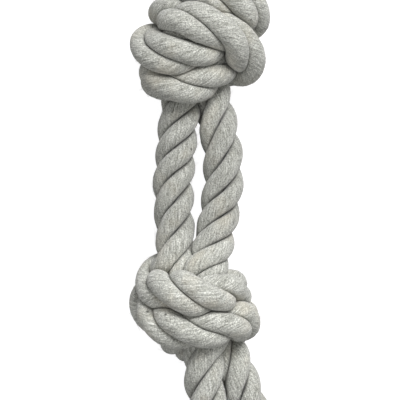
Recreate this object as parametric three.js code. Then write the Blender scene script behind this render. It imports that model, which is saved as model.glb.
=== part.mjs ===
// A rope toy: two three-strand ropes laid side by side, tied together in two doubled overhand
// knots and frayed at both ends. Lengths are in millimetres and +Z is up. The toy lies on its
// knots along X, and its origin is on the ground under its middle. Its shape is worked out with
// the ropes along Y, and turned at the end.

import * as THREE from 'three';

// The rope. Its strands are soft: they press flat on each other, so that each is thicker and
// nearer to the next than three round ones would be. A knot opens the lay.
const ROPE_DIAMETER = 21;
const LAY_LENGTH = 46;
const KNOT_LAY_LENGTH = 62;
const STRANDS_PER_ROPE = 3;
const STRAND_RADIUS_SHARE = 4 / 15;
const STRAND_CONTACT_SHARE = 0.376;
const STRAND_CLEARANCE = 0.4;
const STRAND_RADIUS = STRAND_RADIUS_SHARE * ROPE_DIAMETER;
const STRAND_ORBIT = ROPE_DIAMETER / 2 - STRAND_RADIUS;
const STRAND_CONTACT = STRAND_CONTACT_SHARE * ROPE_DIAMETER;

// The toy: the laid tails are measured from the middle of a knot, and the gaps are the widest
// ones between the two ropes
const KNOT_SPACING = 132;
const LAID_TAIL_LENGTH = 66;
const TASSEL_LENGTH = 42;
const TASSEL_DIAMETER = 31;
const ROPE_GAP = 3;
const TAIL_GAP = 4.5;
const TASSEL_STRAND_SHARE = 0.213;

// Where a strand meets the ground it is flat, to a tenth of its diameter
const FLAT_DEPTH = STRAND_RADIUS / 5;

// A loose doubled overhand knot, seen from its front, in rope diameters: the middle of the pair
// across, along and high, then the way from the left rope to the right rope
const LOOSE_KNOT_SHARES = [
  [0.0, -9, 0, 1, 0, 0],
  [0.0, -6, 0, 1, 0, 0],
  [0.0, -4, 0, 1, 0, 0],
  [0.1, -2, 0, 0.8, 0, -0.5],
  [0.4, -0.3, 0, 0.3, 0, -0.95],
  [0.3, 1.6, -0.5, 0.2, 0.3, -0.9],
  [-0.8, 2.6, -1, 0, 0.3, -0.95],
  [-2.3, 2, -0.8, -0.3, 0.3, -0.9],
  [-3, 0, 0, -0.3, 0, -0.95],
  [-2.4, -1.6, 1, -0.2, -0.7, -0.6],
  [-1, -1.6, 1.6, 0, -1, 0],
  [0.8, -1.4, 1.6, 0, -1, 0],
  [2.2, -1.2, 0.8, 0, -1, 0],
  [2.8, -0.8, -0.6, 0, -1, 0],
  [1.8, -0.4, -1.8, 0, -1, 0],
  [0.2, -0.2, -1.8, 0, -1, 0],
  [-1.2, 0.2, -1.2, 0, -1, 0],
  [-1.6, 0.9, 0, 0, -0.7, 0.7],
  [-1, 1.9, 0.9, 0.5, -0.2, 0.7],
  [-0.3, 3, 0.8, 1, 0, 0],
  [0, 5, 0.2, 1, 0, 0],
  [0, 8, 0, 1, 0, 0],
];
// The rows of that list in which the pair stands still below the knot, and is free above it
const STANDING_ROWS = 4;
const FREE_ROWS = 3;

// Where each pass lies in a tight knot, in rope diameters from its middle: the rope (0 left,
// 1 right), across, along, and the side it is on (1 front, -1 back). The lower knot shows its
// front, and the upper one its back.
const LOWER_PASS_SHARES = [
  [0, -0.88, 0.58, 1],
  [0, -0.48, 0.4, 1],
  [0, 0, 0.3, 1],
  [0, 0.48, 0.28, 1],
  [0, 0.7, 0.36, 1],
  [1, -1, -0.1, 1],
  [1, -0.55, -0.42, 1],
  [1, 0, -0.55, 1],
  [1, 0.55, -0.52, 1],
  [1, 0.82, -0.36, 1],
  [0, -0.4, 0.66, -1],
  [0, 0.3, 0.66, -1],
  [1, -0.4, 0.5, -1],
  [1, 0.5, 0.45, -1],
  [0, 0.5, 0.1, -1],
  [0, -0.1, 0, -1],
  [1, 0.5, -0.7, -1],
  [1, -0.2, -0.72, -1],
];
const UPPER_PASS_SHARES = [
  [0, 0.2, 1.05, -1],
  [0, -0.6, 1, -1],
  [0, -1.1, 0.65, -1],
  [1, 0.75, 0.55, -1],
  [1, -0.12, 0.2, -1],
  [1, -1, -0.2, -1],
  [0, 1.1, -0.12, -1],
  [0, 0.3, -0.25, -1],
  [1, 1, -0.85, -1],
  [1, -0.1, -0.82, -1],
  [0, -0.48, 0.4, 1],
  [0, 0.48, 0.2, 1],
  [1, -0.55, -0.4, 1],
  [1, 0.55, -0.6, 1],
];
// Where a knot is pressed out of the shape that pulling gives it: across and along from its
// middle in rope diameters, and then how far it is moved across and along
const PRESS_REACH_SHARE = 0.45;
const LOWER_PRESS_SHARES = [
  [1.25, 0.35, -0.5, -0.1],
  [1.2, -0.55, -0.2, 0.3],
  [-0.5, 1.25, 0, -0.5],
  [-1.05, 1, 0.15, -0.4],
  [0, -0.9, -0.25, 0],
];
const UPPER_PRESS_SHARES = [
  [-0.45, 0.8, -0.75, 0],
  [1, 0.7, -0.1, 0],
  [0.9, -0.3, -0.05, -0.15],
  [-1.4, 0, -0.2, 0],
  [-1.36, -0.8, 0.12, 0],
];

// In rope diameters: what a knot takes up of the left and the right rope, how near two passes
// come in it, how far it reaches from its middle, what counts as its front or back, and how much
// its lowest pass is pressed into the ground before its strands give way
const TAKE_UP_SHARES = [7.8, 8.6];
const ROPE_CONTACT_SHARE = 0.74;
const KNOT_REACH_SHARE = 1.45;
const KNOT_SIDE_SHARE = 0.3;
const KNOT_PRESS_SHARE = 0.14;

// In rope diameters across: the middle of each knot, and where the pair leaves the lower one
// on its way up and down and ends below it
const LOWER_KNOT_SHARE = -0.12;
const UPPER_KNOT_SHARE = 0.34;
const LOWER_STANDING_SHARE = 0.8;
const LOWER_FREE_SHARE = 0.07;
const LOWER_TAIL_SHARE = 0.9;

// The middle stretch of the left and the right rope: across in rope diameters and along in
// knot spacings
const MIDDLE_SHARES = [
  [[-0.55, -0.12], [-0.59, -0.02], [-0.48, 0.105]],
  [[0.59, -0.12], [0.65, -0.02], [0.65, 0.105]],
];
// A tail: the share of its length along, and of its height that it has come down
const TAIL_SHARES = [[0.25, 0.08], [0.5, 0.35], [0.75, 0.75], [1, 1]];
// Where a crease between two strands faces up in the middle stretch of each rope, in lays
const CREASE_SHARES = [0.37, 0.17];

// The lay of the left and the right rope against the even lay: in the lower and the upper half
// of the middle stretch, and in the lower and the upper knot, on the way in and on the way out.
// A rope is half-way through its knot at so many rope diameters from its middle.
const MIDDLE_LAY_SHARES = [[1.04, 1.05], [0.84, 1.09]];
const KNOT_LAY_SHARES = [
  [[1.01, 0.99], [0.7, 0.99]],
  [[1.19, 1.21], [0.94, 1.23]],
];
const KNOT_HALFWAY_SHARE = 8.1;

// How a knot is drawn tight: first it is only pulled, and then its passes are also led to
// their places. Each share is the part of a move, or of a rope diameter, made in one round.
const KNOT_ROUNDS = 900;
const PULLED_ROUNDS = 300;
const TURNS_PER_ROUND = 4;
const LENGTH_PASSES = 4;
const KNOT_PULL_SHARE = 0.02;
const KNOT_SMOOTH_SHARE = 0.25;
const LEVEL_SHARE = 0.2;
const DRAW_SHARE = 0.3;
const DRAW_POINTS = 2;

// How strands and passes are pushed off each other
const SETTLE_ROUNDS = 80;
const LOOK_ROUNDS = 10;
const PUSH_SHARE = 0.3;
const SETTLE_SMOOTH_SHARE = 0.2;
const RETURN_SHARE = 0.02;
const LOOK_SHARE = 1.5;

// The steps along a knot's line, a strand's line, the points that stand for its neighbours, and
// the rings of its surface
const KNOT_STEP = ROPE_DIAMETER / 4;
const STRAND_STEP = ROPE_DIAMETER / 7;
const SAMPLE_STEP = STRAND_STEP / 2;
const RING_STEP = 2 * STRAND_STEP;
const STEPS_PER_POINT = 20;
const RING_SIDES = 8;
const FACET_ROUNDS = 6;
const THINNEST_SHARE = 0.25;

const TURN = 2 * Math.PI;

// Chains of points that are pushed apart, smoothed and kept at their length

function makeChains(lines) {
  const starts = [];
  const coordinates = [];
  for (const line of lines) {
    starts.push(coordinates.length / 3);
    for (const point of line) {
      coordinates.push(point.x, point.y, point.z);
    }
  }
  starts.push(coordinates.length / 3);
  return { xyz: Float64Array.from(coordinates), starts };
}

function chainLines(chains) {
  return chains.starts.slice(0, -1).map((start, chain) => {
    const line = [];
    for (let i = start; i < chains.starts[chain + 1]; i += 1) {
      line.push(new THREE.Vector3().fromArray(chains.xyz, 3 * i));
    }
    return line;
  });
}

// Pairs of points nearer than reach, apart from close neighbours along one chain
function nearPairs({ xyz, starts }, reach, neighbours) {
  const pairs = [];
  const count = starts[starts.length - 1];
  let chain = 0;
  for (let i = 0; i < count; i += 1) {
    while (i >= starts[chain + 1]) {
      chain += 1;
    }
    for (let j = i + 1; j < count; j += 1) {
      if (j < starts[chain + 1] && j - i < neighbours) {
        continue;
      }
      const dx = xyz[3 * j] - xyz[3 * i];
      const dy = xyz[3 * j + 1] - xyz[3 * i + 1];
      const dz = xyz[3 * j + 2] - xyz[3 * i + 2];
      if (dx * dx + dy * dy + dz * dz < reach * reach) {
        pairs.push(i, j);
      }
    }
  }
  return pairs;
}

function pushApart({ xyz }, pairs, contact) {
  for (let p = 0; p < pairs.length; p += 2) {
    const i = 3 * pairs[p];
    const j = 3 * pairs[p + 1];
    const dx = xyz[j] - xyz[i];
    const dy = xyz[j + 1] - xyz[i + 1];
    const dz = xyz[j + 2] - xyz[i + 2];
    const gap = Math.hypot(dx, dy, dz);
    if (gap < contact && gap > 0) {
      const move = PUSH_SHARE * (contact - gap) / gap;
      xyz[i] -= dx * move;
      xyz[i + 1] -= dy * move;
      xyz[i + 2] -= dz * move;
      xyz[j] += dx * move;
      xyz[j + 1] += dy * move;
      xyz[j + 2] += dz * move;
    }
  }
}

function smooth({ xyz, starts }, share) {
  const before = xyz.slice();
  for (let chain = 0; chain < starts.length - 1; chain += 1) {
    for (let i = 3 * (starts[chain] + 1); i < 3 * (starts[chain + 1] - 1); i += 1) {
      xyz[i] += share * ((before[i - 3] + before[i + 3]) / 2 - before[i]);
    }
  }
}

// Each chain's segments are brought back to their length, from both ends in turn
function keepLength({ xyz, starts }, step) {
  for (let pass = 0; pass < LENGTH_PASSES; pass += 1) {
    for (let chain = 0; chain < starts.length - 1; chain += 1) {
      const first = starts[chain];
      const last = starts[chain + 1] - 1;
      for (let m = first; m < last; m += 1) {
        const i = pass % 2 ? first + last - 1 - m : m;
        const a = 3 * i;
        const dx = xyz[a + 3] - xyz[a];
        const dy = xyz[a + 4] - xyz[a + 1];
        const dz = xyz[a + 5] - xyz[a + 2];
        const length = Math.hypot(dx, dy, dz);
        const stretch = (length - step) / length;
        const near = i === first ? 0 : (i + 1 === last ? 1 : 1 / 2);
        const far = 1 - near;
        xyz[a] += dx * stretch * near;
        xyz[a + 1] += dy * stretch * near;
        xyz[a + 2] += dz * stretch * near;
        xyz[a + 3] -= dx * stretch * far;
        xyz[a + 4] -= dy * stretch * far;
        xyz[a + 5] -= dz * stretch * far;
      }
    }
  }
}

function evenly(points, step) {
  const curve = new THREE.CatmullRomCurve3(points, false, 'centripetal');
  curve.arcLengthDivisions = STEPS_PER_POINT * points.length;
  return curve.getSpacedPoints(Math.round(curve.getLength() / step));
}

// The knot, drawn tight

function looseKnot(standingShare, freeShare) {
  const firstFreeRow = LOOSE_KNOT_SHARES.length - FREE_ROWS;
  return [-1, 1].map((side) => evenly(LOOSE_KNOT_SHARES.map(([across, along, high, ...way], row) => {
    const belowShare = row < STANDING_ROWS ? standingShare : 0;
    const aboveShare = row >= firstFreeRow ? freeShare : 0;
    return new THREE.Vector3(across + belowShare + aboveShare, along, high)
      .addScaledVector(new THREE.Vector3(...way).normalize(), side / 2)
      .multiplyScalar(ROPE_DIAMETER);
  }), KNOT_STEP));
}

function tieKnot(passShares, standingShare, freeShare) {
  const chains = makeChains(looseKnot(standingShare, freeShare));
  const contact = ROPE_CONTACT_SHARE * ROPE_DIAMETER;
  const neighbours = 1 + Math.round(ROPE_DIAMETER / KNOT_STEP);
  let pairs = [];
  for (let round = 0; round < KNOT_ROUNDS; round += 1) {
    pullEnds(chains);
    if (round > PULLED_ROUNDS) {
      for (const pass of passShares) {
        drawToPass(chains, pass);
      }
      layEndsLevel(chains, standingShare * ROPE_DIAMETER, freeShare * ROPE_DIAMETER);
    }
    if (round % LOOK_ROUNDS === 0) {
      pairs = nearPairs(chains, LOOK_SHARE * contact, neighbours);
    }
    for (let turn = 0; turn < TURNS_PER_ROUND; turn += 1) {
      pushApart(chains, pairs, contact);
      smooth(chains, KNOT_SMOOTH_SHARE);
      keepLength(chains, KNOT_STEP);
    }
  }
  const reach = KNOT_REACH_SHARE * ROPE_DIAMETER;
  return chainLines(chains).map((line) => line.filter((point) => Math.abs(point.y) < reach));
}

// The ends of each rope are pulled apart until the knot holds no more than it takes up
function pullEnds({ xyz, starts }) {
  const pull = KNOT_PULL_SHARE * ROPE_DIAMETER;
  TAKE_UP_SHARES.forEach((takeUpShare, rope) => {
    const first = 3 * starts[rope] + 1;
    const last = 3 * starts[rope + 1] - 2;
    const length = (last - first) / 3 * KNOT_STEP;
    if (length - Math.abs(xyz[first] - xyz[last]) > takeUpShare * ROPE_DIAMETER) {
      xyz[first] -= pull;
      xyz[last] += pull;
    }
  });
}

// The point of a rope that is nearest to a pass is drawn to it, and takes its neighbours along
function drawToPass({ xyz, starts }, [rope, acrossShare, alongShare, side]) {
  const across = acrossShare * ROPE_DIAMETER;
  const along = alongShare * ROPE_DIAMETER;
  let nearest = -1;
  let least = ROPE_DIAMETER ** 2;
  for (let i = starts[rope] + DRAW_POINTS; i < starts[rope + 1] - DRAW_POINTS; i += 1) {
    const off = (xyz[3 * i] - across) ** 2 + (xyz[3 * i + 1] - along) ** 2;
    if (side * xyz[3 * i + 2] > KNOT_SIDE_SHARE * ROPE_DIAMETER && off < least) {
      least = off;
      nearest = i;
    }
  }
  if (nearest < 0) {
    return;
  }
  const dx = across - xyz[3 * nearest];
  const dy = along - xyz[3 * nearest + 1];
  for (let k = -DRAW_POINTS; k <= DRAW_POINTS; k += 1) {
    const share = DRAW_SHARE * (1 - Math.abs(k) / (DRAW_POINTS + 1));
    xyz[3 * (nearest + k)] += share * dx;
    xyz[3 * (nearest + k) + 1] += share * dy;
  }
}

// Beyond the knot the two ropes lie side by side at one height
function layEndsLevel({ xyz, starts }, standing, free) {
  for (let rope = 0; rope < 2; rope += 1) {
    const side = (rope - 1 / 2) * (ROPE_DIAMETER + ROPE_GAP);
    for (let i = starts[rope]; i < starts[rope + 1]; i += 1) {
      const along = xyz[3 * i + 1];
      if (Math.abs(along) > KNOT_REACH_SHARE * ROPE_DIAMETER) {
        const middle = along < 0 ? standing : free;
        xyz[3 * i] += LEVEL_SHARE * (middle + side - xyz[3 * i]);
        xyz[3 * i + 2] -= LEVEL_SHARE * xyz[3 * i + 2];
      }
    }
  }
}

// The two ropes, from the lower tail through both knots to the upper tail

function turnedOver(line) {
  return line.map((point) => new THREE.Vector3(-point.x, point.y, -point.z));
}

// The height of a knot's middle when its lowest pass rests on the ground
function restingHeight(lines) {
  const lowest = Math.min(...lines.flat().map((point) => point.z));
  return (1 / 2 - KNOT_PRESS_SHARE) * ROPE_DIAMETER - lowest;
}

function placed(line, across, along, high) {
  const place = new THREE.Vector3(across, along, high);
  return line.map((point) => point.clone().add(place));
}

// Each press fades out smoothly round its place
function pressed(line, pressShares) {
  return line.map((point) => {
    const moved = point.clone();
    for (const [across, along, moveAcross, moveAlong] of pressShares) {
      const off = Math.hypot(point.x / ROPE_DIAMETER - across, point.y / ROPE_DIAMETER - along);
      const share = Math.exp(-((off / PRESS_REACH_SHARE) ** 2));
      moved.x += share * moveAcross * ROPE_DIAMETER;
      moved.y += share * moveAlong * ROPE_DIAMETER;
    }
    return moved;
  });
}

function layRopes() {
  const lower = tieKnot(LOWER_PASS_SHARES, LOWER_STANDING_SHARE, LOWER_FREE_SHARE)
    .map((line) => pressed(line, LOWER_PRESS_SHARES));
  const upper = tieKnot(UPPER_PASS_SHARES, UPPER_KNOT_SHARE, 0).map(turnedOver).reverse()
    .map((line) => pressed(line, UPPER_PRESS_SHARES));
  const lowerHigh = restingHeight(lower);
  const upperHigh = restingHeight(upper);
  return [0, 1].map((rope) => {
    const lowerAcross = LOWER_KNOT_SHARE * ROPE_DIAMETER;
    const upperAcross = UPPER_KNOT_SHARE * ROPE_DIAMETER;
    const lowerKnot = placed(lower[rope], lowerAcross, -KNOT_SPACING / 2, lowerHigh);
    const upperKnot = placed(upper[rope], upperAcross, KNOT_SPACING / 2, upperHigh);
    const middle = MIDDLE_SHARES[rope].map(([across, along]) => new THREE.Vector3(
      across * ROPE_DIAMETER,
      along * KNOT_SPACING,
      THREE.MathUtils.lerp(lowerHigh, upperHigh, along + 1 / 2),
    ));
    return [
      ...tail(lowerKnot[0], -1, rope, LOWER_TAIL_SHARE).reverse(),
      ...lowerKnot,
      ...middle,
      ...upperKnot,
      ...tail(upperKnot[upperKnot.length - 1], 1, rope, 0),
    ];
  });
}

// A tail leaves its knot level and comes down to the ground
function tail(start, way, rope, middleShare) {
  const side = (rope - 1 / 2) * (ROPE_DIAMETER + TAIL_GAP) + middleShare * ROPE_DIAMETER;
  const end = way * (KNOT_SPACING / 2 + LAID_TAIL_LENGTH + TASSEL_LENGTH);
  return TAIL_SHARES.map(([along, drop]) => new THREE.Vector3(
    THREE.MathUtils.lerp(start.x, side, Math.min(1, 2 * along)),
    THREE.MathUtils.lerp(start.y, end, along),
    THREE.MathUtils.lerp(start.z, ROPE_DIAMETER / 2 - FLAT_DEPTH, drop),
  ));
}

// The strands, twisted round each rope's middle line

function squared(normal, tangent) {
  return normal.clone().addScaledVector(tangent, -normal.dot(tangent)).normalize();
}

function middleOf(line) {
  return line.reduce((best, point, i) => (Math.abs(point.y) < Math.abs(line[best].y) ? i : best), 0);
}

// Frames that follow a line without turning round it. Their normal is up at its middle.
function framesAlong(line) {
  const last = line.length - 1;
  const tangents = line.map((point, i) => new THREE.Vector3()
    .subVectors(line[Math.min(i + 1, last)], line[Math.max(i - 1, 0)]).normalize());
  const middle = middleOf(line);
  const normals = new Array(line.length);
  normals[middle] = squared(new THREE.Vector3(0, 0, 1), tangents[middle]);
  for (let i = middle + 1; i <= last; i += 1) {
    normals[i] = squared(normals[i - 1], tangents[i]);
  }
  for (let i = middle - 1; i >= 0; i -= 1) {
    normals[i] = squared(normals[i + 1], tangents[i]);
  }
  return line.map((point, i) => ({
    point,
    normal: normals[i],
    side: new THREE.Vector3().crossVectors(tangents[i], normals[i]),
  }));
}

// The lay length at a point of a rope, which lies so far along the rope from its middle
function layLengthAt(point, rope, fromMiddle) {
  const end = point.y < 0 ? 0 : 1;
  const offKnot = Math.abs(Math.abs(point.y) - KNOT_SPACING / 2);
  if (offKnot < KNOT_REACH_SHARE * ROPE_DIAMETER) {
    const way = fromMiddle < KNOT_HALFWAY_SHARE * ROPE_DIAMETER ? 0 : 1;
    return KNOT_LAY_SHARES[end][rope][way] * KNOT_LAY_LENGTH;
  }
  const isTail = Math.abs(point.y) > KNOT_SPACING / 2;
  return isTail ? LAY_LENGTH : MIDDLE_LAY_SHARES[end][rope] * LAY_LENGTH;
}

// The turns of a rope's lay from its middle to each of its points
function layTurns(line, rope) {
  const middle = middleOf(line);
  const steps = line.map((point, i) => (
    STRAND_STEP / layLengthAt(point, rope, STRAND_STEP * Math.abs(i - middle))
  ));
  const turns = new Array(line.length).fill(line[middle].y / LAY_LENGTH);
  for (let i = middle + 1; i < line.length; i += 1) {
    turns[i] = turns[i - 1] + steps[i];
  }
  for (let i = middle - 1; i >= 0; i -= 1) {
    turns[i] = turns[i + 1] - steps[i];
  }
  return turns;
}

// How far a tail has come unlaid at a place along the toy, from 0 where its tassel starts to 1
function unlaidShare(along) {
  const past = Math.abs(along) - KNOT_SPACING / 2 - LAID_TAIL_LENGTH;
  return THREE.MathUtils.clamp(past / TASSEL_LENGTH, 0, 1);
}

function strandRadiusAt(along) {
  return THREE.MathUtils.lerp(STRAND_RADIUS, TASSEL_STRAND_SHARE * TASSEL_DIAMETER, unlaidShare(along));
}

function strandLines(route, rope) {
  const line = evenly(route, STRAND_STEP);
  const frames = framesAlong(line);
  const turns = layTurns(line, rope);
  return Array.from({ length: STRANDS_PER_ROPE }, (_, strand) => frames.map((frame, i) => {
    const along = frame.point.y;
    const outside = THREE.MathUtils.lerp(ROPE_DIAMETER, TASSEL_DIAMETER, unlaidShare(along)) / 2;
    const orbit = outside - strandRadiusAt(along);
    const angle = TURN * (turns[i] - CREASE_SHARES[rope] + (strand + 1 / 2) / STRANDS_PER_ROPE);
    return frame.point.clone()
      .addScaledVector(frame.normal, orbit * Math.cos(angle))
      .addScaledVector(frame.side, orbit * Math.sin(angle));
  }));
}

// The strands are pushed off each other and off the ground, and otherwise stay where they were laid
function settle(lines) {
  const chains = makeChains(lines);
  const laid = chains.xyz.slice();
  const neighbours = Math.ceil(3 * STRAND_RADIUS / STRAND_STEP);
  let pairs = [];
  for (let round = 0; round < SETTLE_ROUNDS; round += 1) {
    if (round % LOOK_ROUNDS === 0) {
      pairs = nearPairs(chains, LOOK_SHARE * STRAND_CONTACT, neighbours);
    }
    pushApart(chains, pairs, STRAND_CONTACT);
    smooth(chains, SETTLE_SMOOTH_SHARE);
    for (let i = 0; i < laid.length; i += 1) {
      chains.xyz[i] += RETURN_SHARE * (laid[i] - chains.xyz[i]);
    }
    for (let i = 2; i < laid.length; i += 3) {
      chains.xyz[i] = Math.max(chains.xyz[i], STRAND_RADIUS - FLAT_DEPTH);
    }
  }
  return chainLines(chains);
}

// The surface of a strand: rings round its middle line, cut back where another strand is nearer

function strandRings(samples, line, own) {
  return framesAlong(line).map((frame, i) => {
    const near = samples.flatMap((points, other) => points.filter((point, k) => (
      (other !== own || Math.abs(k * SAMPLE_STEP - i * RING_STEP) > 4 * STRAND_RADIUS)
      && point.distanceTo(frame.point) < 3 * STRAND_RADIUS
    )));
    const ways = Array.from({ length: RING_SIDES }, (_, side) => {
      const angle = TURN * side / RING_SIDES;
      return frame.normal.clone().multiplyScalar(Math.cos(angle))
        .addScaledVector(frame.side, Math.sin(angle));
    });
    const radii = ways.map((way) => near.reduce(
      (radius, point) => Math.min(radius, reachOf(frame.point, way, point)),
      strandRadiusAt(frame.point.y),
    ));
    return { middle: frame.point, ways, radii, near };
  });
}

// How far a surface can go from its middle line along one way and stay clear of another strand's
function reachOf(from, way, other) {
  const apart = other.clone().sub(from);
  const toward = apart.dot(way) + STRAND_CLEARANCE;
  return toward > 0 ? (apart.lengthSq() - STRAND_CLEARANCE ** 2) / (2 * toward) : Infinity;
}

function surfacePoint(ring, side) {
  return ring.middle.clone().addScaledVector(ring.ways[side], ring.radii[side]);
}

// Facets are flat, so their middles and edges are cut back until they too keep clear
function keepFacetsClear(rings) {
  const thinnest = THINNEST_SHARE * STRAND_RADIUS;
  for (let round = 0; round < FACET_ROUNDS; round += 1) {
    for (let i = 0; i < rings.length - 1; i += 1) {
      for (let side = 0; side < RING_SIDES; side += 1) {
        const next = (side + 1) % RING_SIDES;
        const corners = [[i, side], [i, next], [i + 1, side], [i + 1, next]];
        const [a, b, c, d] = corners.map(([ring, corner]) => surfacePoint(rings[ring], corner));
        const spots = [[a, b], [a, c], [b, c], [b, d], [c, d], [a, b, c], [b, d, c]];
        const excess = Math.max(...spots.map((group) => excessAt(rings, i, meanOf(group))));
        if (excess > 0) {
          for (const [ring, corner] of corners) {
            const { radii } = rings[ring];
            radii[corner] = Math.max(thinnest, radii[corner] - excess / 2);
          }
        }
      }
    }
  }
}

function meanOf(points) {
  return points.reduce((sum, point) => sum.add(point), new THREE.Vector3()).divideScalar(points.length);
}

function excessAt(rings, i, spot) {
  const axis = new THREE.Line3(rings[i].middle, rings[i + 1].middle);
  const own = axis.closestPointToPoint(spot, true, new THREE.Vector3()).distanceTo(spot);
  return rings[i].near.reduce(
    (most, point) => Math.max(most, own + STRAND_CLEARANCE - point.distanceTo(spot)),
    0,
  );
}

// The rings are joined, closed at both ends, and flat where they are at the ground or nearly so
function strandGeometry(rings) {
  const positions = rings.flatMap((ring) => ring.ways.flatMap((way, side) => {
    const place = surfacePoint(ring, side);
    return [place.x, place.y, place.z < FLAT_DEPTH ? 0 : place.z];
  }));
  positions.push(...rings[0].middle.toArray(), ...rings[rings.length - 1].middle.toArray());
  const faces = [];
  for (let ring = 0; ring < rings.length - 1; ring += 1) {
    for (let side = 0; side < RING_SIDES; side += 1) {
      const a = ring * RING_SIDES + side;
      const b = ring * RING_SIDES + (side + 1) % RING_SIDES;
      faces.push(a, b, a + RING_SIDES, b, b + RING_SIDES, a + RING_SIDES);
    }
  }
  const start = rings.length * RING_SIDES;
  const lastRing = start - RING_SIDES;
  for (let side = 0; side < RING_SIDES; side += 1) {
    const next = (side + 1) % RING_SIDES;
    faces.push(start, next, side);
    faces.push(start + 1, lastRing + side, lastRing + next);
  }
  const geometry = new THREE.BufferGeometry();
  geometry.setAttribute('position', new THREE.Float32BufferAttribute(positions, 3));
  geometry.setIndex(faces);
  geometry.computeVertexNormals();
  return geometry;
}

// The toy: each strand is a piece of its own, and the middle of them all is over the origin

const toy = new THREE.Group();
const strands = settle(layRopes().flatMap(strandLines));
const samples = strands.map((line) => evenly(line, SAMPLE_STEP));
strands.forEach((line, own) => {
  const rings = strandRings(samples, evenly(line, RING_STEP), own);
  keepFacetsClear(rings);
  const cotton = new THREE.MeshStandardMaterial({ color: '#b6b6ae', roughness: 0.95, metalness: 0 });
  const mesh = new THREE.Mesh(strandGeometry(rings), cotton);
  const rope = own < STRANDS_PER_ROPE ? 'a' : 'b';
  mesh.name = `rope_${rope}_strand_${own % STRANDS_PER_ROPE + 1}`;
  toy.add(mesh);
});
toy.rotation.z = -TURN / 4;
const middle = new THREE.Box3().setFromObject(toy).getCenter(new THREE.Vector3());
toy.position.set(-middle.x, -middle.y, 0);
export default toy;
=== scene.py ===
import math

import bmesh
import bpy
import numpy as np
from mathutils.kdtree import KDTree
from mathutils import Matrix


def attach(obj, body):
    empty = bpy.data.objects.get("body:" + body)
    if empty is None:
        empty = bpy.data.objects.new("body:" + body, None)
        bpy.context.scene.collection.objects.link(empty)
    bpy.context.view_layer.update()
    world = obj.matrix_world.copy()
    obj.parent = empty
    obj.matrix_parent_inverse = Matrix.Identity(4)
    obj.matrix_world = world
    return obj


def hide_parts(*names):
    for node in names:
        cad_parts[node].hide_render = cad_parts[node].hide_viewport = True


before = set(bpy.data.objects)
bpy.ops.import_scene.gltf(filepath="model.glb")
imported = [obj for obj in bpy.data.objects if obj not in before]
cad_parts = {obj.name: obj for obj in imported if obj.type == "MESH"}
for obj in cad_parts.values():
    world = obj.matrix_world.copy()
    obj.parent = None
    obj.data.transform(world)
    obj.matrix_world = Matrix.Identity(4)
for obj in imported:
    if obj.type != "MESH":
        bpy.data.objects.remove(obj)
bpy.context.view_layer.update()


# Camera
# It looks straight down on the toy, which lies along X on the ground, so +X is up in the picture.
# The picture is 200 mm wide at the height of the ropes, and the two ends lie outside it.
PICTURE_WIDTH = 0.2
PICTURE_CENTRE = (-0.01146, 0.00443)
ROPE_HEIGHT = 0.035
CAMERA_DISTANCE = 2.0
CAMERA_REACH = 20
SENSOR_WIDTH = 36


def add_object(name, data):
    """An object at the origin, linked into the scene."""
    added = bpy.data.objects.new(name, data)
    bpy.context.scene.collection.objects.link(added)
    return added


camera_data = bpy.data.cameras.new("camera")
camera_data.sensor_width = SENSOR_WIDTH
camera_data.lens = SENSOR_WIDTH * CAMERA_DISTANCE / PICTURE_WIDTH
camera_data.clip_end = CAMERA_REACH
camera = add_object("camera", camera_data)
camera.location = (*PICTURE_CENTRE, ROPE_HEIGHT + CAMERA_DISTANCE)
camera.rotation_euler = (0, 0, -math.pi / 2)
bpy.context.scene.camera = camera


# Laid strands
# Two ropes of three strands each lie side by side and are tied together in two overhand knots.
# A strand is a soft bundle of grey cotton yarns, round where it is free and pressed flat against
# whatever strand lies beside it, so a sharp dark crease runs along between two strands. Its shape
# gives it real shade, and its colour is darkened there too, which is painted shade.
STRANDS_EACH = 3
STRAND_NODES = [
    f"rope_{rope}_strand_{number}" for rope in "ab" for number in range(1, STRANDS_EACH + 1)
]
STRAND_RADIUS = 0.0056
STRAND_STEP = 0.001
TASSEL_LENGTH = 0.042
FLOOR_GAP = 0.0001
RING_POINTS = 8
SAME_POINT = 0.00001
GROUNDED_BELOW = 0.0001
GROUNDED_DISCOUNT = 0.98


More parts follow.
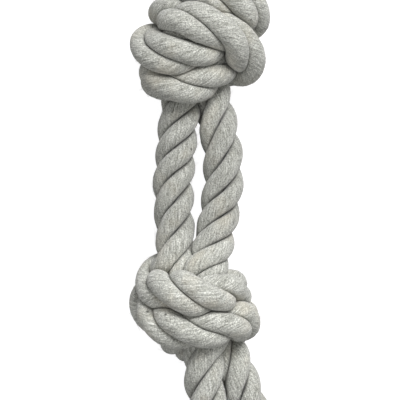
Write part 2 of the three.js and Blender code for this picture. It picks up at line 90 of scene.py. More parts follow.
def ring_centres(node):
    """Middles of the rings of a strand's solid, from one end to the other.
    An end's middle touches eight points, and each step from it along the edges is one ring.
    A ring's middle is the point nearest to the lines through its opposite points, of which those
    that end on the ground hardly count, because the solid is pressed flat there."""
    solid = bmesh.new()
    solid.from_mesh(node.data)
    bmesh.ops.remove_doubles(solid, verts=solid.verts, dist=SAME_POINT)
    solid.verts.index_update()
    places = np.array([vert.co for vert in solid.verts])
    edges = np.array([[vert.index for vert in edge.verts] for edge in solid.edges])
    solid.free()
    touching = np.bincount(edges.ravel(), minlength=len(places))
    ends = np.flatnonzero(touching == RING_POINTS)
    first = ends[np.argmin(places[ends, 0])]
    ring = np.full(len(places), -1)
    ring[first] = 0
    step = 0
    while True:
        reached = (ring[edges] == step).any(axis=1)
        fresh = edges[reached].ravel()
        fresh = fresh[ring[fresh] < 0]
        if not len(fresh):
            break
        step += 1
        ring[fresh] = step
    rings = places[np.argsort(ring, kind="stable")][1:-1].reshape(-1, RING_POINTS, 3)
    middle = rings.mean(axis=1)
    along = np.gradient(middle, axis=0)
    along /= np.linalg.norm(along, axis=1, keepdims=True)
    side = np.cross(along, rings[:, 0] - middle)
    side /= np.linalg.norm(side, axis=1, keepdims=True)
    up = np.cross(side, along)
    apart = rings - middle[:, None]
    turn = np.arctan2((apart * up[:, None]).sum(2), (apart * side[:, None]).sum(2))
    order = np.argsort(turn, axis=1)
    rings = np.take_along_axis(rings, order[:, :, None], axis=1)
    half = RING_POINTS // 2
    near = rings[:, :half]
    across = rings[:, half:] - near
    across /= np.linalg.norm(across, axis=2, keepdims=True)
    grounded = (rings[:, :, 2] < GROUNDED_BELOW).astype(float)
    weight = 1 - GROUNDED_DISCOUNT * np.maximum(grounded[:, :half], grounded[:, half:])
    flat = np.eye(3) - across[..., :, None] * across[..., None, :]
    flat *= weight[..., None, None]
    pull = np.einsum("nkij,nkj->ni", flat, near)
    return np.linalg.solve(flat.sum(axis=1), pull[..., None])[..., 0]


def even_curve(points, step):
    """Natural cubic curve through the points, by the length between them, at even steps.
    The second derivatives come from one set of linear equations, with none at the two ends.
    It is worked out twice, because the steps come out even when the points already lie close."""
    for _ in range(2):
        gaps = np.linalg.norm(np.diff(points, axis=0), axis=1)
        place = np.concatenate([[0], np.cumsum(gaps)])
        count = len(points)
        equations = np.eye(count)
        rows = np.arange(1, count - 1)
        equations[rows, rows - 1] = gaps[:-1]
        equations[rows, rows] = 2 * (gaps[:-1] + gaps[1:])
        equations[rows, rows + 1] = gaps[1:]
        slopes = np.diff(points, axis=0) / gaps[:, None]
        bends = np.zeros_like(points)
        bends[1:-1] = 6 * np.diff(slopes, axis=0)
        bends = np.linalg.solve(equations, bends)
        wanted = np.linspace(0, place[-1], int(place[-1] / step) + 1)
        part = np.clip(np.searchsorted(place, wanted, side="right") - 1, 0, count - 2)
        gap = gaps[part][:, None]
        after = (wanted - place[part])[:, None]
        before = gap - after
        curve = bends[part] * before**3 / (6 * gap) + bends[part + 1] * after**3 / (6 * gap)
        curve += (points[part] / gap - bends[part] * gap / 6) * before
        curve += (points[part + 1] / gap - bends[part + 1] * gap / 6) * after
        points = curve
    return curve


KNOT_AT = 0.066
KNOT_HALF = 0.034
KNOT_EDGE = 6


def in_knot(line):
    """1 inside the two knots and 0 outside: e to the power of minus the distance along X from a
    knot's middle, over KNOT_HALF, to the power of KNOT_EDGE."""
    return np.exp(-(((np.abs(line[:, 0]) - KNOT_AT) / KNOT_HALF) ** KNOT_EDGE))


STRANDS_APART = 0.0005
NEAREST_WITHIN = 25


def spread_strands(lines):
    """Middle lines of one rope's strands, moved off the rope's own middle outside the knots.
    That middle is the mean of a strand's point and of the nearest point of each other strand,
    looked for around the same share of its length."""
    spread = []
    window = np.arange(-NEAREST_WITHIN, NEAREST_WITHIN + 1)
    for line in lines:
        steps = np.arange(len(line))
        middle = np.zeros_like(line)
        for other in lines:
            same_share = (steps * (len(other) - 1) / (len(line) - 1)).astype(int)
            near = np.clip(same_share[:, None] + window, 0, len(other) - 1)
            gaps = np.linalg.norm(other[near] - line[:, None], axis=2)
            middle += other[near[steps, gaps.argmin(axis=1)]] / len(lines)
        off = line - middle
        off /= np.linalg.norm(off, axis=1, keepdims=True)
        spread.append(line + STRANDS_APART * off * (1 - in_knot(line))[:, None])
    return spread


def carried_axes(line):
    """The line's direction, and two axes square to it that are carried along it without turning.
    Each first axis is the last one, less the part of it that lies along the new direction."""
    along = np.gradient(line, axis=0)
    along /= np.linalg.norm(along, axis=1, keepdims=True)
    side = np.empty_like(line)
    last = np.cross(along[0], (0, 0, 1))
    for place, way in enumerate(along):
        last = last - way * last.dot(way)
        last /= np.linalg.norm(last)
        side[place] = last
    return along, side, np.cross(along, side)


def ring_ways(side, up, corners):
    """Even angles round a line, and for each angle a the direction side * cos(a) + up * sin(a)."""
    turn = np.linspace(0, 2 * math.pi, corners, endpoint=False)
    return turn, side[:, None] * np.cos(turn)[:, None] + up[:, None] * np.sin(turn)[:, None]


def lengths_along(line):
    """Length along the line up to each of its points, the sum of the gaps between them."""
    gaps = np.linalg.norm(np.diff(line, axis=0), axis=1)
    return np.concatenate([[0], np.cumsum(gaps)])


NEIGHBOUR_WITHIN = 2.1 * STRAND_RADIUS
SAME_PASS = 4 * STRAND_RADIUS
TINY = 1e-9


def pressed_reach(number, ways, line):
    """How far a strand swells in each direction before it meets the strand beside it.
    For a neighbour's point at the offset a, that is half way along the unit direction u,
    at a.a / (2 a.u), and the smallest of all neighbours' values counts. The strand's own points
    count too, apart from those that are near along its length."""
    own = lengths_along(line)
    reach = np.full(ways.shape[:2], np.inf)
    for place, point in enumerate(line):
        near = np.array([index for _, index, _ in neighbours.find_range(point, NEIGHBOUR_WITHIN)])
        same_pass = (owner[near] == number) & (np.abs(length_at[near] - own[place]) < SAME_PASS)
        others = near[~same_pass]
        if not len(others):
            continue
        apart = every_point[others] - point
        toward = np.maximum(ways[place] @ apart.T, TINY)
        reach[place] = ((apart * apart).sum(axis=1) / (2 * toward)).min(axis=1)
    return reach


ANY_PHASE = (0, 6)
PARTING = 0.00012
PARTING_WAVES = (0.0029, 0.0071)


def parted(reach, number, length, knotted):
    """The reach, less the gaps that open here and there between two strands outside the knots.
    A gap is PARTING times the product of two sines of the length, where that is above 0."""
    first, second = PARTING_WAVES
    parting = np.sin(length / first + random.uniform(*ANY_PHASE)) * np.sin(length / second + number)
    return reach - PARTING * (np.maximum(0, parting) * (1 - knotted))[:, None]


RIDGE_COUNTS = (7, 11, 16)
RIDGE_HEIGHT = 0.00006
WANDER = 0.8
WANDER_WAVE = 0.013
SWELLING = 0.00018
SWELLING_WAVES = (0.0095, 0.0041)
FULLER_IN_KNOT = 0.00085
THINNER = 0.00055


def free_size(length, turn, yarn_turn, knotted):
    """A strand's radius where nothing presses it, with low ridges of its yarns and a swelling.
    The ridges are the mean of cosines of 7, 11 and 16 times the angle that turns with the yarns,
    each wandering with a sine of the length. The swelling is the sum of two sines of the length,
    of which the second turns round the strand. Inside the knots the strand is fuller."""
    ridges = np.zeros_like(yarn_turn)
    for count in RIDGE_COUNTS:
        start, sway = random.uniform(0, 2 * math.pi, 2)
        wander = WANDER * np.sin(length[:, None] / WANDER_WAVE + sway)
        ridges += np.cos(count * yarn_turn + start + wander) / len(RIDGE_COUNTS)
    first, second = SWELLING_WAVES
    swelling = np.sin(length[:, None] / first + random.uniform(*ANY_PHASE))
    swelling = swelling + np.sin(length[:, None] / second + turn + random.uniform(*ANY_PHASE))
    free = STRAND_RADIUS + RIDGE_HEIGHT * ridges + SWELLING * swelling
    return free + (FULLER_IN_KNOT * knotted - THINNER)[:, None]


CREASE_GAP = 0.00005
CREASE_ROUNDING = 0.00055
CREASE_WIDTH = 0.0016
KNOT_CREASE_SHARE = 0.15


def pressed_size(free, reach):
    """The smaller of the free radius and the reach, rounded off where the two are alike.
    What comes off is r * log(1 + e to the power of minus their difference over r), where r is
    CREASE_ROUNDING."""
    rounding = np.log1p(np.exp(-np.abs(free - reach) / CREASE_ROUNDING))
    return np.minimum(free, reach) - CREASE_ROUNDING * rounding


def crease_shade_share(free, reach, knotted):
    """How much painted shade darkens the colour in the creases: 1 where two strands meet and 0
    where
    CREASE_WIDTH is left between the free radius and the reach, by the square of what is missing of
    that width, and much less inside the knots."""
    painted_crease_shade = np.clip((free + CREASE_WIDTH - reach) / CREASE_WIDTH, 0, 1) ** 2
    return painted_crease_shade * (1 - (1 - KNOT_CREASE_SHARE) * knotted)[:, None]


# Share of the painted shade by place beyond the knots and in the upper knot.
PAINTED_SHADE_AT_ENDS = 0.46


def painted_shade_share(line, knotted):
    """Share of a painted shade by place: 1 between the two knots, a smaller share beyond them and
    in the upper knot, and 0 in the lower knot, with one passing into the other as the share inside
    a knot does."""
    between = np.abs(line[:, 0]) < KNOT_AT
    painted_shade = np.where(between, 1 - knotted, PAINTED_SHADE_AT_ENDS * (1 - knotted))
    return painted_shade + PAINTED_SHADE_AT_ENDS * knotted * (line[:, 0] > 0)


def tube_faces(rings, around, first=0):
    """Four-sided faces between each ring and the next, and a fan of triangles on each end.
    The points are numbered from first on, ring by ring, with the middles of the two ends last."""
    corner = np.arange(around)
    following = (corner + 1) % around
    base = np.arange(rings - 1)[:, None] * around
    beyond = base + around
    quads = [base + corner, base + following, beyond + following, beyond + corner]
    last = (rings - 1) * around
    middle = np.full(around, rings * around)
    start = np.stack([following, corner, middle], axis=-1)
    end = np.stack([last + corner, last + following, middle + 1], axis=-1)
    quads = first + np.stack(quads, axis=-1).reshape(-1, 4)
    fans = first + np.concatenate([start, end])
    return quads.tolist() + fans.tolist()


def thin_tube(line, radius, corners, twist=0, groove=0):
    """Rings of a round thread along a line, whose radius falls in a groove between its two plies.
    At the angle a and the length s it is radius * (1 - groove * (1 - cos(2 (a - twist s))) / 2)."""
    _, side, up = carried_axes(line)
    turn, ways = ring_ways(side, up, corners)
    ply = turn - twist * lengths_along(line)[:, None]
    sunk = (1 - np.cos(2 * ply)) / 2
    size = radius[:, None] * (1 - groove * sunk)
    return line[:, None] + ways * size[..., None], ply, sunk


FIBRE_RADIUS = 0.00005
FIBRE_STEPS = 6
FIBRE_CORNERS = 3
STRAY_FIBRES = 240
STRAY_LENGTHS = (0.0025, 0.007)
STRAY_SLANT = 0.4
STRAY_LIFT = 0.12
STRAY_BEND = 25
STRAY_REACH = 0.0028
NO_CREASE = 0.05
END_RINGS = 3
RINGS_BESIDE = 10


def curled(fibre, run, bend):
    """A fibre bent to a random side with the square of its length, and kept above the floor."""
    fibre = fibre + random.normal(0, 1, 3) * run**2 * bend
    fibre[:, 2] = np.maximum(fibre[:, 2], FIBRE_RADIUS + FLOOR_GAP)
    return fibre


def stray_fibres(line, surface, ways, along, painted_crease_shade, total):
    """Thin fibres that stand off a strand's surface, with the numbers of their faces from total on.
    Each starts at a point outside the creases and runs on straight, slanted off the strand's way by
    a random share of its length, so it leaves the round surface, and bends with the square of it.
    One that would end too far from the strand's middle line is left out."""
    rings, corners = np.nonzero(painted_crease_shade[END_RINGS:-END_RINGS] < NO_CREASE)
    chosen = random.integers(0, len(rings), STRAY_FIBRES)
    points, faces = [], []
    for ring, corner in zip(rings[chosen] + END_RINGS, corners[chosen]):
        out = ways[ring, corner]
        across = np.cross(along[ring], out)
        run = np.linspace(0, random.uniform(*STRAY_LENGTHS), FIBRE_STEPS)[:, None]
        fibre = surface[ring, corner] + out * FIBRE_RADIUS
        fibre = fibre + (along[ring] + random.normal(0, STRAY_SLANT) * across) * run
        fibre = fibre + out * random.uniform(0, STRAY_LIFT) * run
        fibre = curled(fibre, run, STRAY_BEND)
        beside = line[max(0, ring - RINGS_BESIDE) : ring + RINGS_BESIDE + 1]
        apart = np.linalg.norm(fibre[:, None] - beside, axis=2).min(axis=1)
        if apart.max() > STRAND_RADIUS + STRAY_REACH:
            continue
        tube = thin_tube(fibre, np.full(FIBRE_STEPS, FIBRE_RADIUS), FIBRE_CORNERS)[0]
        points.append(np.concatenate([tube.reshape(-1, 3), fibre[[0, -1]]]))
        faces += tube_faces(FIBRE_STEPS, FIBRE_CORNERS, total)
        total += len(points[-1])
    return np.concatenate(points), faces


PLACE_ACROSS = 1000
PLACE_ALONG = 150


def yarn_places(length, yarn_turn):
    """Where the yarns' pattern is read: the point of a circle that turns with the yarns, and the
    length along the strand, on a smaller scale, which draws the pattern out along the yarns."""
    x = PLACE_ACROSS * STRAND_RADIUS * np.cos(yarn_turn)
    y = PLACE_ACROSS * STRAND_RADIUS * np.sin(yarn_turn)
    z = np.broadcast_to(PLACE_ALONG * length[:, None], yarn_turn.shape)
    return np.stack([x, y, z], axis=-1).reshape(-1, 3)


def add_piece(name, points, faces, material):
    """A smooth mesh object at the origin, with its place in its points."""
    mesh = bpy.data.meshes.new(name)
    mesh.from_pydata(points.reshape(-1, 3), [], faces)
    mesh.polygons.foreach_set("use_smooth", np.ones(len(mesh.polygons), bool))
    mesh.materials.append(material)
    return add_object(name, mesh)


def add_values(piece, name, values):
    """A named number or vector for each point of the piece."""
    kind, field = ("FLOAT", "value") if values.ndim == 1 else ("FLOAT_VECTOR", "vector")
    layer = piece.data.attributes.new(name, kind, "POINT")
    layer.data.foreach_set(field, values.astype(np.float32).ravel())


class Nodes:
    """The nodes of a material or a world. Inputs are numbers, colours or other nodes' outputs."""

    def __init__(self, owner, shader="Principled BSDF"):
        owner.use_nodes = True
        self.tree = owner.node_tree
        self.shader = self.tree.nodes[shader]

    def fill(self, node, inputs):
        """Links each input that is another node's output, and sets the rest on the node itself."""
        for name, value in inputs.items():
            if isinstance(value, bpy.types.NodeSocket):
                self.tree.links.new(value, node.inputs[name])
            else:
                node.inputs[name].default_value = value

    def add(self, kind, inputs=None, **settings):
        """A new node's outputs."""
        node = self.tree.nodes.new(kind)
        for name, value in settings.items():
            setattr(node, name, value)
        self.fill(node, inputs or {})
        return node.outputs

    def attribute(self, name, output="Fac"):
        """What each point of the piece carries under this name."""
        return self.add("ShaderNodeAttribute", attribute_name=name)[output]

    def noise(self, place, settings):
        """Noise at the place, about 0.5."""
        return self.add("ShaderNodeTexNoise", {"Vector": place, **settings})["Fac"]

    def ranged(self, value, low, high, to_low=0, to_high=1):
        """The value on a scale that takes low to to_low and high to to_high, and stops there."""
        bounds = {"From Min": low, "From Max": high, "To Min": to_low, "To Max": to_high}
        return self.add("ShaderNodeMapRange", {"Value": value, **bounds})["Result"]

    def mixed(self, share, first, second):
        """The first colour, with that share of the second."""
        colours = {"Factor": share, "A": first, "B": second}
        return self.add("ShaderNodeMix", colours, data_type="RGBA")["Result"]

    def scaled(self, colour, share):
        """The colour times the share."""
        inputs = {0: colour, "Scale": share}
        return self.add("ShaderNodeVectorMath", inputs, operation="SCALE")["Vector"]

    def number(self, operation, *values):
        """The values joined by the operation."""
        return self.add("ShaderNodeMath", dict(enumerate(values)), operation=operation)["Value"]


YARN_PALE = (0.656, 0.66, 0.612, 1)
YARN_GREY = (0.369, 0.373, 0.331, 1)
STREAKS = {"Scale": 1.5, "Detail": 4, "Roughness": 0.75}
STREAK_RANGE = (0.42, 0.59)
# The dark flecks' and seeds' colour, which is also the colour of the painted shade in the creases.
DARK_FLECK_AND_SHADE = (0.1, 0.1, 0.085, 1)
FLECK_PALE = (0.88, 0.883, 0.842, 1)
FLECKS = {"Scale": 1.9, "Detail": 2, "Roughness": 0.6}
DARK_RANGE = (0.56, 0.73)
DARK_SHARE = 0.85
PALE_RANGE = (0.42, 0.25)
PALE_SHARE = 0.6
GRAIN = {"Scale": 1500, "Detail": 2, "Roughness": 0.6}
GRAIN_RANGE = (0.32, 0.68)
GRAIN_SHADE = 0.52
STAIN = (0.68, 0.614, 0.472, 1)
PATCHES = {"Scale": 70, "Detail": 3}
STAIN_RANGE = (0.52, 0.72)
STAIN_SHARE = 0.3
SEED_SPACING = 0.014
SEED_RADIUS = 0.0007
SEED_EDGE = 0.3
SEED_SHARE = 0.9
# How much the painted shade by place darkens the colour.
PAINTED_SHADE_STRENGTH = 0.27
CREASE_SHADE = 0.92
FUZZ = {"Scale": 1500, "Detail": 3, "Roughness": 0.7}
RELIEF = {"Strength": 0.7, "Distance": 0.0005}
COTTON_FINISH = {
    "Roughness": 0.95,
    "Specular IOR Level": 0.15,
    "Sheen Weight": 0.35,
    "Sheen Roughness": 0.6,
}


def cotton_material(name):
    """Heathered cotton. Streaks along the yarns run between two greys, a second noise gives dark
    flecks where it is high and pale ones where it is low, and a fine grain scales the colour by
    GRAIN_SHADE to 2 - GRAIN_SHADE. Broad patches are faintly stained, and round dark seed specks
    lie about. A painted shade by place darkens the colour, and in the creases the colour goes
    towards the dark flecks' colour, which is painted shade as well."""
    material = bpy.data.materials.new(name)
    nodes = Nodes(material)
    yarn = nodes.attribute("yarn_place", "Vector")
    place = nodes.add("ShaderNodeTexCoord")["Object"]
    streaks = nodes.noise(yarn, STREAKS)
    colour = nodes.mixed(nodes.ranged(streaks, *STREAK_RANGE), YARN_GREY, YARN_PALE)
    flecks = nodes.noise(yarn, FLECKS)
    dark = nodes.ranged(flecks, *DARK_RANGE, to_high=DARK_SHARE)
    colour = nodes.mixed(dark, colour, DARK_FLECK_AND_SHADE)
    pale = nodes.ranged(flecks, *PALE_RANGE, to_high=PALE_SHARE)
    colour = nodes.mixed(pale, colour, FLECK_PALE)
    grain = nodes.ranged(nodes.noise(place, GRAIN), *GRAIN_RANGE, GRAIN_SHADE, 2 - GRAIN_SHADE)
    colour = nodes.scaled(colour, grain)
    stain = nodes.ranged(nodes.noise(place, PATCHES), *STAIN_RANGE, to_high=STAIN_SHARE)
    colour = nodes.mixed(stain, colour, STAIN)
    seeds = nodes.add("ShaderNodeTexVoronoi", {"Vector": place, "Scale": 1 / SEED_SPACING})
    radius = SEED_RADIUS / SEED_SPACING
    edge = ((1 + SEED_EDGE) * radius, (1 - SEED_EDGE) * radius)
    seed = nodes.ranged(seeds["Distance"], *edge, to_high=SEED_SHARE)
    colour = nodes.mixed(seed, colour, DARK_FLECK_AND_SHADE)
    # Painted shade by place: the colour is darkest between the knots and not darkened in the lower
    # knot.
    unshaded_share = nodes.number("MULTIPLY_ADD", nodes.attribute("painted_shade"), -PAINTED_SHADE_STRENGTH, 1)
    colour = nodes.scaled(colour, unshaded_share)
    # Painted shade: in the creases the colour goes towards the dark colour.
    crease_darkening = nodes.number("MULTIPLY", nodes.attribute("painted_crease_shade"), CREASE_SHADE)
    colour = nodes.mixed(crease_darkening, colour, DARK_FLECK_AND_SHADE)
    height = nodes.number("ADD", streaks, nodes.noise(place, FUZZ))
    bump = nodes.add("ShaderNodeBump", {"Height": height, **RELIEF})["Normal"]
    nodes.fill(nodes.shader, {"Base Color": colour, "Normal": bump, **COTTON_FINISH})
    return material


cotton = cotton_material("heathered_cotton")

solid_lines = [ring_centres(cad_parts[name]) for name in STRAND_NODES]
strand_lines = [even_curve(line, STRAND_STEP) for line in solid_lines]
rope_a = spread_strands(strand_lines[:STRANDS_EACH])
rope_b = spread_strands(strand_lines[STRANDS_EACH:])
strand_lines = rope_a + rope_b
every_point = np.concatenate(strand_lines)
length_at = np.concatenate([lengths_along(line) for line in strand_lines])
owner = np.repeat(np.arange(len(strand_lines)), [len(line) for line in strand_lines])
neighbours = KDTree(len(every_point))
for index, point in enumerate(every_point):
    neighbours.insert(point, index)
neighbours.balance()

AROUND = 56
YARN_PITCH = 0.042
OPENING_LENGTH = 0.012
OPENED_SHARE = 0.3
RANDOM_START = 7

random = np.random.default_rng(RANDOM_START)
bundles = []
for number, (name, line) in enumerate(zip(STRAND_NODES, strand_lines)):
    along, side, up = carried_axes(line)
    turn, ways = ring_ways(side, up, AROUND)
    length = lengths_along(line)
    knotted = in_knot(line)
    reach = pressed_reach(number, ways, line) - CREASE_GAP
    reach = parted(reach, number, length, knotted)
    yarn_turn = turn + 2 * math.pi * length[:, None] / YARN_PITCH
    free = free_size(length, turn, yarn_turn, knotted)
    size = pressed_size(free, reach)
    to_end = np.minimum(length, length[-1] - length) - TASSEL_LENGTH
    opened = np.clip(1 - to_end / OPENING_LENGTH, 0, 1)[:, None] ** 2
    surface = line[:, None] + ways * (size * (1 - OPENED_SHARE * opened))[..., None]
    surface[..., 2] = np.maximum(surface[..., 2], FLOOR_GAP)
    kept = np.flatnonzero((length >= TASSEL_LENGTH) & (length <= length[-1] - TASSEL_LENGTH))
    painted_crease_shade = crease_shade_share(free, reach, knotted)[kept]
    points = np.concatenate([surface[kept].reshape(-1, 3), line[[kept[0], kept[-1]]]])
    fibres, fibre_faces = stray_fibres(
        line[kept], surface[kept], ways[kept], along[kept], painted_crease_shade, len(points)
    )
    points = np.concatenate([points, fibres])
    faces = tube_faces(len(kept), AROUND) + fibre_faces
    piece = add_piece("laid_" + name, points, faces, cotton)
    rest = len(points) - len(kept) * AROUND
    places = yarn_places(length[kept], yarn_turn[kept])
    add_values(piece, "yarn_place", np.concatenate([places, PLACE_ACROSS * points[-rest:]]))
    # The creases' painted shade goes to the material.
    add_values(piece, "painted_crease_shade", np.concatenate([painted_crease_shade.ravel(), np.zeros(rest)]))
    # The painted shade by place goes to the material as well.
    painted_shade = np.repeat(painted_shade_share(line, knotted)[kept], AROUND)
    add_values(piece, "painted_shade", np.concatenate([painted_shade, np.zeros(rest)]))
    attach(piece, "root")
    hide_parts(name)
    bundles.append((line, side, up, length, size))


# Tassels
# At both ends of the toy the strands come unlaid and their yarns lie loose on the ground.
# A yarn is two thin plies of cotton twisted together, and its cut end frays into single fibres.
YARN_RADIUS = 0.001
YARNS_AT = ((0, 1), (0.002, 6), (0.004, 12))
YARN_STEP = 0.0014
TUCKED_LENGTH = 0.012
LONGEST_SHARE = 1.06
END_STEPS = (20, 12)
TURNING_SHARE = 0.3
LETTING_GO = 2.5
OPENING_SHARE = 0.18
SPREAD_SHARE = 0.35
SPREADS = (0.3, 1.5)
LEAN = 0.0016
WAVE_HEIGHT = 0.0009
WAVE_LENGTHS = (0.014, 0.03)
WAVE_GROWTH = 2


def yarn_routes(bundle, far):
    """Middle lines of one strand's yarns at one end, from inside the strand to beyond the cut.
    They stand in rings, each given by its distance from the strand's line and its yarns' number.
    A yarn keeps its place round the strand, turning with it, inside the strand's pressed outline,
    and its distance from the strand's line grows with the square of the free length, with a lean
    and a wave added in a random direction."""
    line, side, up, length, size = bundle
    if far:
        start = length[-1] - TASSEL_LENGTH - TUCKED_LENGTH
        way = 1
    else:
        start = TASSEL_LENGTH + TUCKED_LENGTH
        way = -1
    reach = np.arange(0, TUCKED_LENGTH + LONGEST_SHARE * TASSEL_LENGTH, YARN_STEP)
    place = start + way * reach
    inside = np.clip(place, 0, length[-1])
    middle, sideways, upward = (
        np.stack([np.interp(inside, length, axis[:, part]) for part in range(3)], axis=-1)
        for axis in (line, side, up)
    )
    before, after = END_STEPS
    tangent = middle[-after] - middle[-before]
    tangent /= np.linalg.norm(tangent)
    middle = middle + tangent * (np.abs(place - inside))[:, None]
    free = np.clip((reach - TUCKED_LENGTH) / TASSEL_LENGTH, 0, None)
    turned = start + way * np.minimum(reach, TUCKED_LENGTH + TURNING_SHARE * TASSEL_LENGTH)
    turned = -2 * math.pi * turned / YARN_PITCH
    station = np.clip(np.searchsorted(length, inside), 0, len(length) - 1)
    held = np.clip(1 - LETTING_GO * free, 0, 1)
    opening = 1 + OPENING_SHARE * np.clip(reach / TUCKED_LENGTH, 0, 1)
    routes = []
    for distance, count in YARNS_AT:
        first = random.uniform(0, 2 * math.pi)
        for number in range(count):
            angle = first + 2 * math.pi * number / count + turned
            corner = np.round(angle / (2 * math.pi) * AROUND).astype(int) % AROUND
            room = size[station, corner] - YARN_RADIUS
            off = distance * (opening + SPREAD_SHARE * random.uniform(*SPREADS) * free**2)
            off = off + (np.minimum(off, room * opening) - off) * held
            route = middle + sideways * (off * np.cos(angle))[:, None]
            route = route + upward * (off * np.sin(angle))[:, None]
            wave = random.normal(0, 1, 3) * WAVE_HEIGHT
            ripple = 2 * math.pi * reach / random.uniform(*WAVE_LENGTHS)
            ripple = np.sin(ripple + random.uniform(*ANY_PHASE))
            lean = random.normal(0, 1, 3) * LEAN
            route = route + wave * (ripple * np.minimum(1, WAVE_GROWTH * free))[:, None]
            route = route + lean * (free**2)[:, None]
            routes.append(route)
    return np.array(routes), free


SETTLING_ROUNDS = 50
SINKING = 0.00008
LOOSENING = 3
PUSHED_SHARE = 0.3
SMOOTHED_SHARE = 0.2


def settled(routes, free):
    """The yarns after they have sunk to the ground and pushed each other aside.
    In each round a point sinks a little, each of two points closer than a yarn's width moves
    PUSHED_SHARE of what is missing, no point goes below the ground, and each yarn is smoothed
    along its length. A yarn is held inside its strand and is loose a third of the way out."""
    loose = np.clip(LOOSENING * free, 0, 1)[None, :, None]
    width = 2 * YARN_RADIUS
    itself = np.eye(len(routes), dtype=bool)[..., None]
    for _ in range(SETTLING_ROUNDS):
        apart = routes[:, None] - routes[None]
        gap = np.linalg.norm(apart, axis=-1)
        short = np.where(itself, 0, np.clip(width - gap, 0, None))
        push = (apart * (short / np.maximum(gap, TINY))[..., None]).sum(axis=1)
        moved = routes + PUSHED_SHARE * push * loose
        moved[..., 2] -= SINKING * loose[..., 0]
        bend = moved[:, :-2] + moved[:, 2:] - 2 * moved[:, 1:-1]
        moved[:, 1:-1] += SMOOTHED_SHARE * loose[:, 1:-1] * bend
        moved[..., 2] = np.maximum(moved[..., 2], YARN_RADIUS + FLOOR_GAP)
        routes = moved
    return routes


END_FIBRES = 10
END_FIBRE_LENGTHS = (0.003, 0.006)
END_FIBRE_ROOTS = (1, 9)
END_FIBRE_DEPTH = 0.7
END_FIBRE_SPREAD = 0.25
END_FIBRE_BEND = 30


def frayed_end(line):
    """Fibres at a yarn's cut end. Each starts inside the yarn, at one of its last points, and runs
    on in its direction, with END_FIBRE_SPREAD of its length to a random side, and then bends."""
    fibres = []
    for _ in range(END_FIBRES):
        root = len(line) - 1 - random.integers(*END_FIBRE_ROOTS)
        ahead = line[root + 1] - line[root]
        ahead /= np.linalg.norm(ahead)
        aside = random.normal(0, 1, 3)
        aside -= ahead * aside.dot(ahead)
        aside /= np.linalg.norm(aside)
        run = np.linspace(0, random.uniform(*END_FIBRE_LENGTHS), FIBRE_STEPS)[:, None]
        fibre = line[root] + END_FIBRE_DEPTH * YARN_RADIUS * aside
        fibre = fibre + (ahead + END_FIBRE_SPREAD * aside) * run
        fibres.append(curled(fibre, run, END_FIBRE_BEND))
    return fibres


YARN_CORNERS = 8
SHORTEST_SHARE = 0.86
TIP_TAPER = (1, 0.85, 0.45)
PLY_PITCH = 0.0075
PLY_GROOVE = 0.2
# Painted shade in the groove between a yarn's two plies.
PLY_GROOVE_SHADE = 0.45
PLY_PLACE_ALONG = 350
PLACE_SHIFTS = (0, 400)

tassels = {number: [] for number in range(len(STRAND_NODES))}
for far, end_name in ((False, "lower"), (True, "upper")):
    made = [yarn_routes(bundle, far) for bundle in bundles]
    free = made[0][1]
    routes = settled(np.concatenate([routes for routes, _ in made]), free)
    yarns_each = len(made[0][0])
    for number, name in enumerate(STRAND_NODES):
        points, faces, places, creases = [], [], [], []
        total = 0
        for yarn in range(yarns_each):
            share = random.uniform(SHORTEST_SHARE, LONGEST_SHARE)
            line = routes[number * yarns_each + yarn][free <= share]
            radius = np.full(len(line), YARN_RADIUS)
            radius[-len(TIP_TAPER) :] *= TIP_TAPER
            fibre_radius = np.full(FIBRE_STEPS, FIBRE_RADIUS)
            tubes = [(line, radius, YARN_CORNERS, 2 * math.pi / PLY_PITCH, PLY_GROOVE)]
            tubes += [(fibre, fibre_radius, FIBRE_CORNERS, 0, 0) for fibre in frayed_end(line)]
            for line, radius, corners, twist, groove in tubes:
                rings, ply, sunk = thin_tube(line, radius, corners, twist, groove)
                points += [rings.reshape(-1, 3), line[[0, -1]]]
                faces += tube_faces(len(line), corners, total)
                run = np.broadcast_to(lengths_along(line)[:, None], ply.shape)
                place = np.stack([np.cos(ply), np.sin(ply), PLY_PLACE_ALONG * run], axis=-1)
                shift = random.uniform(*PLACE_SHIFTS, 3)
                places += [place.reshape(-1, 3) + shift, np.broadcast_to(shift, (2, 3))]
                # The groove between the plies gets painted shade, as the creases between strands
                # do.
                creases += [PLY_GROOVE_SHADE * sunk.ravel() * (groove > 0), np.zeros(2)]
                total += len(line) * corners + 2
        piece = add_piece(f"tassel_{end_name}_{name}", np.concatenate(points), faces, cotton)
        add_values(piece, "yarn_place", np.concatenate(places))
        add_values(piece, "painted_crease_shade", np.concatenate(creases))
        # The tassels get the same painted shade by place as the rope ends.
        add_values(piece, "painted_shade", np.full(total, PAINTED_SHADE_AT_ENDS))
        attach(piece, "root")
        tassels[number].append(piece)


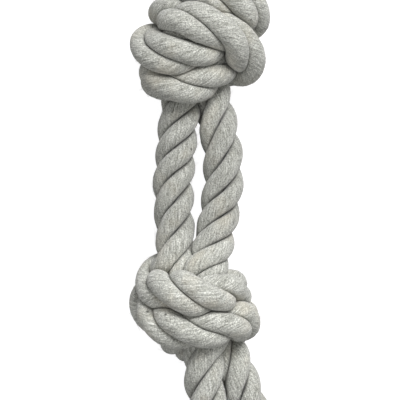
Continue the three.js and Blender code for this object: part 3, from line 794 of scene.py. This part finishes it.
# Studio
# The toy lies on a plain pale floor. A large soft lamp stands off the picture's top right corner,
# and a dimmer even light comes from all around.
FLOOR_SIZE = 6
FLOOR_GREY = 0.3
FLOOR_GLOW = 0.92
WHITE = (1, 1, 1, 1)
WORLD_STRENGTH = 0.475
KEY_WAY = (0.78, -0.38, 1)
KEY_DISTANCE = 2.5
KEY_SIZE = 1.2
KEY_POWER = 65


def background_rays(nodes):
    """1 for a ray of the camera, of a glossy surface or of glass, 0 for light that the toy gets."""
    path = nodes.add("ShaderNodeLightPath")
    seen = nodes.number("MAXIMUM", path["Is Camera Ray"], path["Is Glossy Ray"])
    return nodes.number("MAXIMUM", seen, path["Is Transmission Ray"])


floor_mesh = bpy.data.meshes.new("floor")
edge = FLOOR_SIZE / 2
floor_mesh.from_pydata(
    [(-edge, -edge, 0), (edge, -edge, 0), (edge, edge, 0), (-edge, edge, 0)], [], [(0, 1, 2, 3)]
)
floor = add_object("floor", floor_mesh)

floor_material = bpy.data.materials.new("pale_floor")
floor_nodes = Nodes(floor_material)
glow = floor_nodes.number("MULTIPLY", background_rays(floor_nodes), FLOOR_GLOW)
floor_nodes.fill(
    floor_nodes.shader,
    {
        "Base Color": (FLOOR_GREY, FLOOR_GREY, FLOOR_GREY, 1),
        "Roughness": 1,
        "Specular IOR Level": 0,
        "Emission Color": WHITE,
        "Emission Strength": glow,
    },
)
floor_mesh.materials.append(floor_material)

world = bpy.data.worlds.new("studio")
bpy.context.scene.world = world
sky_nodes = Nodes(world, "Background")
strength = sky_nodes.ranged(background_rays(sky_nodes), 0, 1, to_low=WORLD_STRENGTH)
sky_nodes.fill(sky_nodes.shader, {"Color": WHITE, "Strength": strength})

key_data = bpy.data.lights.new("key_light", "AREA")
key_data.shape = "SQUARE"
key_data.size = KEY_SIZE
key_data.energy = KEY_POWER
key = add_object("key_light", key_data)
away = np.array(KEY_WAY) / np.linalg.norm(KEY_WAY)
key.location = away * KEY_DISTANCE
key.rotation_euler = (-key.location).to_track_quat("-Z", "Y").to_euler()

bpy.context.scene.view_settings.view_transform = "Standard"
